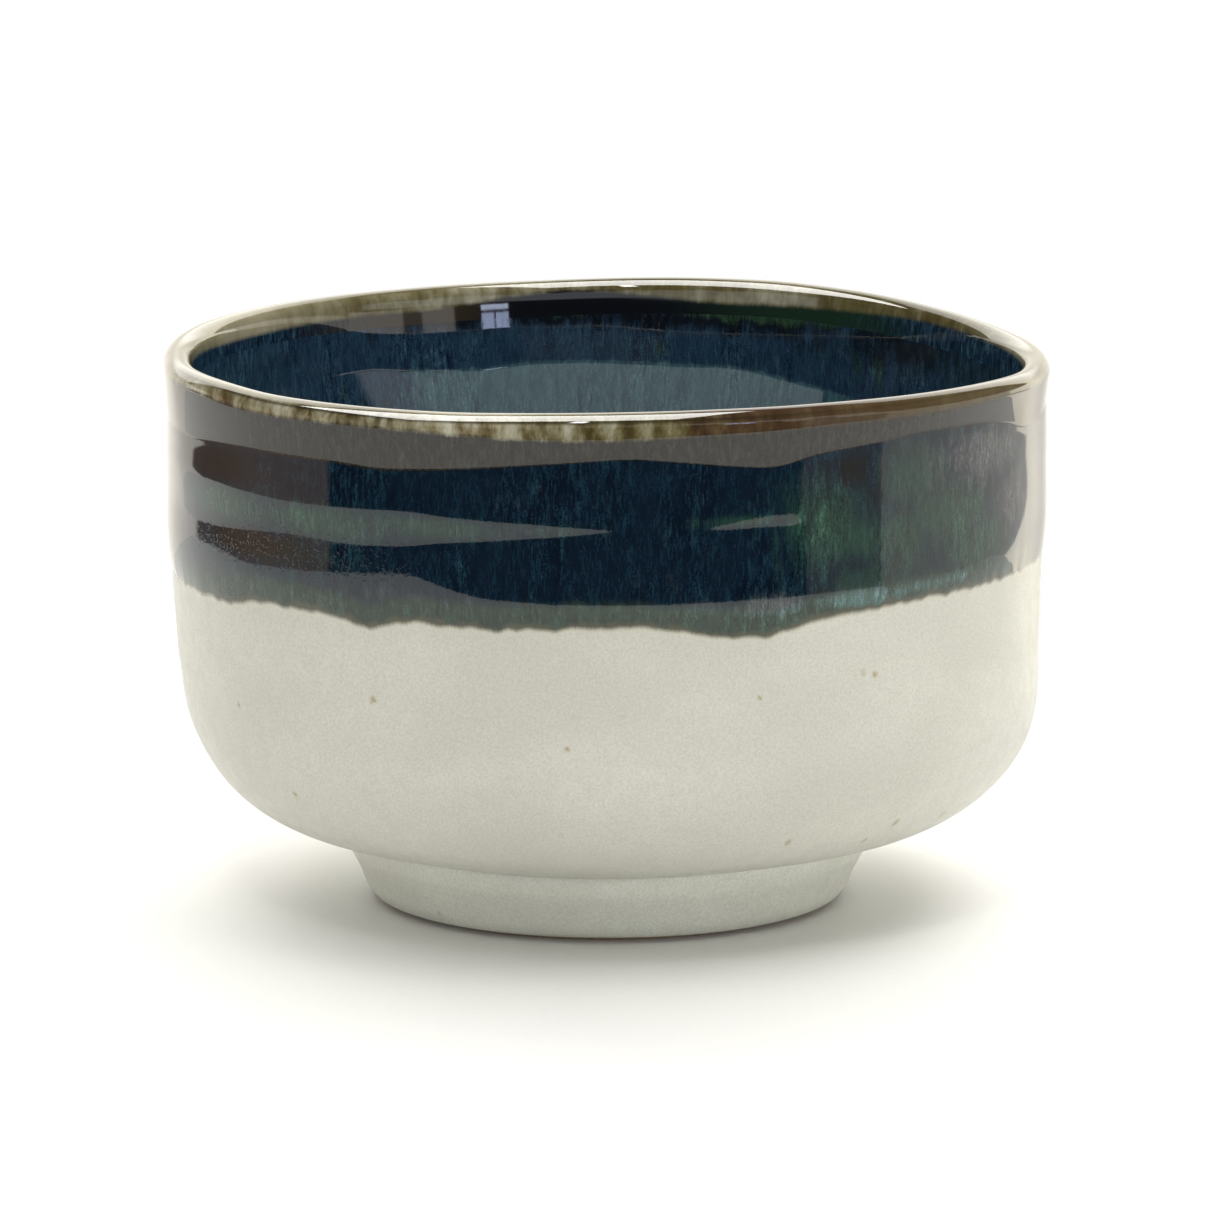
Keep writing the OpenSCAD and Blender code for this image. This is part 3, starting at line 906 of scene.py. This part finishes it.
def make_white_outside(material):
    coat, under = Section(), Section()
    wall_rows(coat, 0.0, slope_rows=8, corner_rows=30, high_rows=30, hidden_rows=12)
    lip_rows(coat, LIP_RAD - RIM_T, 8, 170, 8)
    wall_rows(under, WHITE_T + SINK, slope_rows=4, corner_rows=12, high_rows=8, hidden_rows=9)
    lip_rows(under, LIP_RAD - RIM_T - WHITE_T - SINK, 8, 170, 7)
    return coat.build("white_glaze_outside_coat", "white_glaze_outside", material, under)


def make_blue_outside(material):
    coat, under = Section(), Section()
    low = FRINGE - 1.0
    for u in np.linspace(0, 1, 84):
        z = low + (CREASE - low) * u
        coat.ring(band_at(z), z, -z, z - FRINGE, outside_tone(z))
    coat.sharp()
    for u in np.linspace(0, 1, 10):
        z = low + (CREASE - low) * u
        surface = np.minimum(belly(z) + throwing_rings(z), band_at(z) - 0.2)
        under.ring(surface - 0.25, z, -z, z - FRINGE)
    return coat.build("blue_glaze_outside_coat", "blue_glaze_outside", material, under)


def make_rim(material):
    coat, under = Section(), Section()
    tone = np.stack([LIP_PALE, LIP_BROWN, LIP_CALM], -1)
    for u in np.linspace(0, 1, 26)[:-1]:
        z = CREASE + (LIP_C_Z - CREASE) * u
        coat.ring(band_at(z), z, LIP_C_Z - z + QUARTER_ARC, z - ROLL_Z, tone)
        if u == 0:
            coat.sharp()
    lip_rows(coat, LIP_RAD, 0, 90, 18, tone)
    lip_rows(coat, LIP_RAD, 95, LIP_STOP, 14, tone)
    low_z = CONE_Z - RIM_RUN * cos(INNER_LEAN)
    for u in np.linspace(0, 1, 10)[1:]:
        z = LIP_END_Z + (low_z - LIP_END_Z) * u
        away = QUARTER_ARC + LIP_C_Z - z
        coat.ring(inner_wall(z), z, -away, AMBER_RUN - away, tone)
    coat.sharp()
    for u in np.linspace(0, 1, 8)[:-1]:
        z = CREASE + (LIP_C_Z - CREASE) * u
        under.ring(band_at(z) - RIM_T, z)
    lip_rows(under, LIP_RAD - RIM_T - SINK, 0, LIP_STOP, 14)
    under.ring(inner_wall(low_z) + LINER_T, low_z)
    return coat.build("rim_glaze_coat", "rim_glaze", material, under)


# Patches on the inside, listed like those on the outside: dark ones under the lip, a painted dark
# reflection where the wall mirrors the dark room, and green ones
PAINTED_DARK_REFLECTION_PATCHES = [
    (-165, 72.5, 30, 2.6, 1), (-125, 69, 14, 2, 0.35), (-100, 67, 12, 4, 0.35), (110, 68, 16, 6, 0.6),
    (130, 70, 20, 4, 0.8), (165, 72, 26, 2.6, 1),
]
LUSH_PATCHES = [
    (-175, 72, 6, 1.2, 0.5), (-142, 61, 10, 5, 0.4), (-50, 40, 20, 8, 0.7), (40, 50, 20, 9, 0.7),
    (100, 45, 15, 9, 0.6), (140, 66, 12, 4, 0.4), (156, 72.6, 16, 1.6, 1), (172, 67.5, 12, 1.5, 0.35),
]


def inside_tone(z):
    """How dark, green and teal the inside's glaze is at heights z; the dark under the lip is a painted
    dark reflection, the teal at the back painted light, the teal low down the pooled glaze.
    """
    from_back = 180 - np.abs(AZIMUTHS)
    back = np.where(AZIMUTHS < 0, smooth((37 - from_back) / 14), smooth((56 - from_back) / 14))
    # Teal at the back below the lower sheen line is painted light, its ends set to those of the bright
    # belt that the wall mirrors there; the pool's teal low down is the glaze's own colour
    painted_light_belt = back * smooth((LOWER_SHEEN + 0.8 - z) / 1.6)
    pool = 0.75 * smooth((34 - z) / 14)
    return np.stack([patches(PAINTED_DARK_REFLECTION_PATCHES, z), patches(LUSH_PATCHES, z), np.maximum(painted_light_belt, pool)], -1)


def make_liner(material):
    coat, under = Section(), Section()
    r, z, run = inner_path(0.0, side_rows=68, corner_rows=18, floor_rows=10, start=RIM_RUN)
    tones = [inside_tone(row) for row in z]
    coat.ring(r[0], z[0], run[0], AMBER_RUN - QUARTER_ARC - run[0], tones[0])
    coat.sharp()
    coat.rings(r[1:], z[1:], run[1:], AMBER_RUN - QUARTER_ARC - run[1:], tones[1:])
    coat.pole(z[-1].mean(), run[-1].mean(), -60.0, tones[-1])
    r, z, run = inner_path(LINER_T + SINK, side_rows=16, corner_rows=8, floor_rows=5, start=RIM_RUN)
    under.rings(r, z, run, run)
    under.pole(z[-1].mean())
    return coat.build("blue_glaze_inside_coat", "blue_glaze_inside", material, under)


white = white_glaze("satin_white_glaze", srgb(202, 202, 191), srgb(192, 192, 181))
# The foot's white glaze is a lighter copy of the wall's: painted light, making up for the shade that the
# bowl's overhang casts on the foot
foot_white_with_painted_light = white_glaze("foot_white_glaze", srgb(212, 213, 202), srgb(200, 201, 190))

clay_shell = make_clay_body(clay("body_clay"))
ring_clay = make_foot_ring(clay("foot_clay"))
white_outside = make_white_outside(white)
white_foot = make_foot_glaze(foot_white_with_painted_light)
white_base = make_base_glaze(white_glaze("base_white_glaze", srgb(206, 206, 194), srgb(188, 188, 178)))
blue_outside = make_blue_outside(blue_glaze())
blue_inside = make_liner(liner_glaze())
rim = make_rim(rim_glaze())

# ---- table, light and camera

# How far the table top reaches from the bowl at each azimuth
TABLE_EDGE = {-180: 190, -150: 230, -128: 330, 109: 330, 124: 190, 160: 170}


def make_table():
    """A pale table top under the bowl."""
    rings, columns = 24, 180
    t = np.linspace(-pi, pi, columns, endpoint=False)
    reach = np.interp(np.degrees(t), *zip(*TABLE_EDGE.items()), period=360)
    verts, faces = [(0.0, 0.0, 0.0)], []
    for i in range(1, rings + 1):
        r = reach * MM * i / rings
        verts += np.stack([r * np.sin(t), -r * np.cos(t), 0 * r], -1).tolist()
    for j in range(columns):
        k = (j + 1) % columns
        faces.append((0, 1 + j, 1 + k))
        for i in range(rings - 1):
            a, b = 1 + i * columns, 1 + (i + 1) * columns
            faces.append((a + j, b + j, b + k, a + k))
    mesh = bpy.data.meshes.new("table_top")
    mesh.from_pydata(verts, [], faces)
    table = new_object("table_top", mesh)
    n = Surface("table_paper")
    at = n.node("ShaderNodeTexCoord")["Object"]
    fibre = n.noise(at, (900, 900, 900), detail=3)
    paper = n.mix(fibre, (0.84, 0.84, 0.825, 1), (0.9, 0.9, 0.885, 1))
    mesh.materials.append(n.finish(paper, n.step(fibre, 0.3, 0.7, 0.6, 0.8)))


# Directions are degrees from the front, growing to the right, and degrees above the horizon
ROOM_LIGHT = (0.012, 0.012, 0.012)
# What the glaze mirrors of the room: azimuth from and to, height from and to, softness, and its light
ROOM_PARTS = [
    (52.5, 75, -90, 2, 0.5, (0.40, 0.39, 0.37)),
    (75, 145, -90, 6.3, 0.5, (1.2, 1.15, 1.06)),
    (-145, -76, -90, 2, 0.7, (0.64, 0.46, 0.35)),
    (-160, -112, -90, 2, 16, (0.26, 0.20, 0.17)),
    (-62, 73.5, 9, 17, 0.6, (1.05, 1.1, 1.15)),
    (44, 78, 1, 8, 0.5, (1.55, 1.5, 1.4)),
    (54, 60, 1, 8, 0.5, (0.3, 0.3, 0.3)),
]
# The small window and lamp that show as glints
GLINTS = [
    (28, 31.6, 2.6, 6.4, 0.2, (4.6, 5.4, 8)),
    (32.3, 36, 2.6, 6.4, 0.2, (4.6, 5.4, 8)),
    (28, 36, 6.9, 7.9, 0.2, (6.5, 7.4, 10)),
    (-12, -7, 45, 57, 0.8, (30, 30, 30)),
]
# Where the bright backdrop behind the bowl begins on either side, and how high it reaches
BACK_EDGE_LEFT, BACK_EDGE_RIGHT, BACK_TOP = 135.3, 142.0, 50.0
# How its edges bow in: the height where they don't, degrees for each degree squared, and at most
BOW_HEIGHT, BOW_RISE, BOW_FALL, BOW_MOST = -9.6, 1.2, 1.1, 16.0
# The backdrop's light to the right, straight behind, to the left and high up
BACK_RIGHT = (2.8, 2.62, 2.25)
BACK_BEHIND = (1.25, 1.2, 1.1)
BACK_LEFT = (1.6, 1.52, 1.38)
BACK_HIGH = (2.6, 2.56, 2.42)
# Light that only the matt surfaces receive, from the front and from behind, so that shadows stay soft
FILL_FRONT = (0.26, 0.258, 0.25)
FILL_BEHIND = (0.48, 0.47, 0.45)
# Colours in the world's shader are divided by this and its strength multiplied by it
LIGHT_SCALE = 40.0


def light_colour(light):
    return tuple(part / LIGHT_SCALE for part in light) + (1.0,)


def make_world():
    """A white studio with a dark open front: the light that the glossy glaze mirrors."""
    world = bpy.data.worlds.new("studio")
    bpy.context.scene.world = world
    world.use_nodes = True
    n = Nodes(world.node_tree)
    background = n.tree.nodes["Background"]
    direction = n.node("ShaderNodeTexCoord")["Generated"]
    towards = n.parts(direction)
    across = n.math("ARCTAN2", towards["X"], n.times(towards["Y"], -1.0))
    azimuth = n.times(across, 180 / pi)
    height = n.times(n.math("ARCSINE", towards["Z"]), 180 / pi)

    def between(value, low, high, soft):
        return n.times(n.step(value, low - soft, low + soft), n.step(value, high + soft, high - soft))

    colour = light_colour(ROOM_LIGHT)
    for left, right, low, high, soft, light in ROOM_PARTS + GLINTS:
        window = n.times(between(azimuth, left, right, soft), between(height, low, high, soft))
        colour = n.mix(window, colour, light_colour(light))
    turned = n.math("ABSOLUTE", azimuth)
    # The backdrop's edge bows in above and below the height at which the band mirrors it
    above = n.less(height, BOW_HEIGHT)
    rise = n.times(n.math("POWER", n.math("MAXIMUM", above, 0.0), 2.0), BOW_RISE)
    fall = n.times(n.math("POWER", n.math("MINIMUM", above, 0.0), 2.0), BOW_FALL)
    bow = n.math("MINIMUM", n.add(rise, fall), BOW_MOST)
    bowed = n.add(turned, n.times(bow, n.step(height, 8, 2)))
    edge = n.step(towards["X"], -0.1, 0.1, BACK_EDGE_LEFT, BACK_EDGE_RIGHT)
    past = n.less(bowed, edge)
    soft = n.step(height, -11.5, -14, 1.0, 6.0)
    back = n.step(past, n.times(soft, -1.0), soft)
    back = n.times(back, n.step(height, BACK_TOP + 1, BACK_TOP - 1))
    side = light_colour(BACK_LEFT)
    side = n.mix(n.step(towards["X"], -0.4, 0.0), side, light_colour(BACK_BEHIND))
    side = n.mix(n.step(height, 8, 14), side, light_colour(BACK_HIGH))
    side = n.mix(n.step(towards["X"], 0.3, 0.62), side, light_colour(BACK_RIGHT))
    colour = n.mix(back, colour, side)
    path = n.node("ShaderNodeLightPath")
    fill = n.mix(n.step(towards["Y"], -0.3, 0.5), light_colour(FILL_FRONT), light_colour(FILL_BEHIND))
    colour = n.mix(path["Is Diffuse Ray"], colour, n.mix(1.0, colour, fill, "ADD"))
    n.feed(background.inputs["Color"], n.mix(path["Is Camera Ray"], colour, light_colour((1.0, 1.0, 1.0))))
    background.inputs["Strength"].default_value = LIGHT_SCALE


LAMP_COLOUR = (1.0, 0.985, 0.955)


def make_light(name, position, target, size, radiance, mirrored):
    """A rectangular light that is either mirrored in the glaze or lights matt surfaces."""
    light = bpy.data.lights.new(name, "AREA")
    light.shape = "RECTANGLE"
    light.size, light.size_y = size
    light.energy = radiance * pi * size[0] * size[1]
    light.color = LAMP_COLOUR
    box = new_object(name, light)
    box.location = position
    aim = Vector(target) - Vector(position)
    box.rotation_euler = aim.to_track_quat("-Z", "Y").to_euler()
    box.visible_glossy = mirrored
    box.visible_diffuse = not mirrored


def make_lights():
    make_light("softbox_sheen", (-0.45, -0.1, 1.3), (-0.45, -0.1, 0.0), (1.5, 1.24), 14.0, True)
    make_light("softbox", (0.1, 0.0, 1.3), (0.1, 0.0, 0.0), (1.8, 1.8), 3.25, False)
    make_light("fill_right", (0.9, -1.25, 0.22), (0.0, 0.0, 0.03), (1.2, 0.4), 3.0, False)
    make_light("fill_left", (-1.4, -0.5, 0.22), (0.0, 0.0, 0.03), (1.0, 0.4), 2.15, False)


# The camera stands in front of the bowl, above it and looking down a little, with a long lens:
# its distance and height in mm, how far it looks down in radians, and its lens and sensor in mm
CAMERA_AWAY = 1200.0
CAMERA_UP = 268.3
CAMERA_DOWN = 0.188
CAMERA_LENS = 264.2
CAMERA_SENSOR = 36.0


def make_camera():
    camera = bpy.data.cameras.new("camera")
    camera.lens = CAMERA_LENS
    camera.sensor_width = CAMERA_SENSOR
    camera.clip_start = 0.05
    camera.clip_end = 20.0
    stand = new_object("camera", camera)
    stand.location = (0.0, -CAMERA_AWAY * MM, CAMERA_UP * MM)
    stand.rotation_euler = (pi / 2 - CAMERA_DOWN, 0.0, 0.0)
    bpy.context.scene.camera = stand


make_table()
make_world()
make_lights()
make_camera()
bpy.context.scene.view_settings.view_transform = "Standard"
